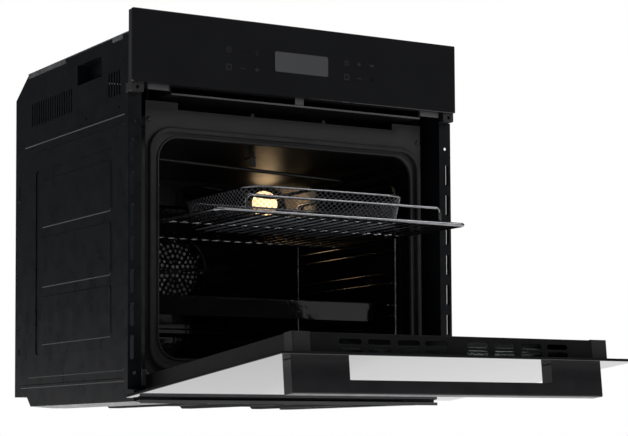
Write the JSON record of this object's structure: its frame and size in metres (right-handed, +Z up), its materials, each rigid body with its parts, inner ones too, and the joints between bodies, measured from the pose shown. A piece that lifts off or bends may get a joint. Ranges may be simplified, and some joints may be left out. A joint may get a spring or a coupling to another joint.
{
  "type": "wall oven",
  "caption": "Built-in electric wall oven with touch control panel, drop-down glass door, bar handle, pull-out wire rack with a mesh basket, baking tray and shelf rails.",
  "frame": {"origin": "centre of the underside of the base", "axes": "+Z up, the control panel and door face -Y, +X is to the right seen from the front; the door is stored open"},
  "size_m": [0.595, 0.9669, 0.6],
  "materials": {
    "black_glass": "glossy",
    "clear_glass": "glossy",
    "side_paint": "semi-gloss, lightly textured",
    "black_enamel": "glossy",
    "galvanised": "bright, spangled",
    "trim_grey": "satin",
    "door_profile": "satin",
    "black_plastic": "matt",
    "white_plastic": "satin",
    "handle_paint": "satin",
    "chrome_wire": "polished",
    "element_metal": "dull",
    "gasket_rubber": "matt",
    "blanket": "felted",
    "hinge_steel": "zinc plated",
    "screw_steel": "zinc plated",
    "aluminium": "bright",
    "board": "satin",
    "display_grey": "satin",
    "lamp_glow": "lit",
    "ceramic": "matt"
  },
  "bodies": {
    "cabinet": {"side_panel_left": "side_paint", "side_panel_right": "side_paint", "top_cover": "galvanised", "rear_cover": "galvanised", "base_plate": "galvanised", "base_runners": "side_paint", "base_pan": "galvanised", "bottom_trim_strip": "trim_grey", "front_column_left": "side_paint", "front_column_right": "side_paint", "panel_brackets": "black_plastic", "cavity_face": "black_enamel", "cavity_liner": "black_enamel", "cavity_back_panel": "black_enamel", "cavity_gasket": "gasket_rubber", "insulation_blanket": "blanket", "control_panel_glass": "black_glass", "panel_carrier": "black_plastic", "display_module": "display_grey", "touch_key_board": "board", "air_guide": "door_profile", "duct_cover": "door_profile", "cooling_blower_housing": "galvanised", "cooling_blower_motor": "hinge_steel", "convection_fan_cover": "black_enamel", "convection_fan_motor": "hinge_steel", "ring_element": "element_metal", "grill_element": "element_metal", "grill_bracket": "hinge_steel", "bottom_element": "element_metal", "lamp_holder": "ceramic", "lamp_bulb": "lamp_glow", "lamp_glass": "clear_glass", "side_rails": "chrome_wire", "hinge_arms": "hinge_steel", "hinge_receivers": "galvanised", "power_board": "board", "board_tray": "galvanised", "terminal_block": "white_plastic", "thermal_cutout": "ceramic", "temperature_probe": "hinge_steel", "cabinet_screws": "screw_steel"},
    "door": {"door_outer_glass": "black_glass", "door_middle_glass": "clear_glass", "door_inner_glass": "clear_glass", "door_inner_frame": "door_profile", "door_side_profiles": "door_profile", "door_top_trim": "door_profile", "door_end_caps": "black_plastic", "door_bottom_trim": "door_profile", "door_handle": "handle_paint", "handle_screws": "screw_steel", "hinge_cases": "hinge_steel", "hinge_pins": "hinge_steel", "hinge_springs": "hinge_steel"},
    "rack": {"pull_out_rack": "chrome_wire"},
    "basket": {"mesh_basket": "chrome_wire"},
    "tray": {"baking_tray": "black_enamel"},
    "convection_fan": {"convection_fan_wheel": "aluminium"},
    "blower": {"cooling_blower_wheel": "aluminium"}
  },
  "joints": [
    {"name": "door_hinge", "type": "hinge", "parent": "cabinet", "child": "door", "pos_m": [0, -0.254, 0.021], "axis": [-1, 0, 0], "range_deg": [0, 84.4]},
    {"name": "rack_slide", "type": "slide", "parent": "cabinet", "child": "rack", "axis": [0, 1, 0], "range_m": [0, 0.182]},
    {"name": "basket_lift", "type": "slide", "parent": "rack", "child": "basket", "axis": [0, 0, 1], "range_m": [0, 0.04]},
    {"name": "tray_slide", "type": "slide", "parent": "cabinet", "child": "tray", "axis": [0, 1, 0], "range_m": [-0.25, 0]},
    {"name": "convection_fan_spin", "type": "hinge", "parent": "cabinet", "child": "convection_fan", "pos_m": [0, 0.19, 0.246], "axis": [0, 1, 0], "continuous": true},
    {"name": "blower_spin", "type": "hinge", "parent": "cabinet", "child": "blower", "pos_m": [0, -0.005, 0.505], "axis": [1, 0, 0], "continuous": true}
  ],
  "couplings": [
    {"joint": "rack_slide", "follows": "door_hinge", "m_per_rad": 0.1222}
  ]
}
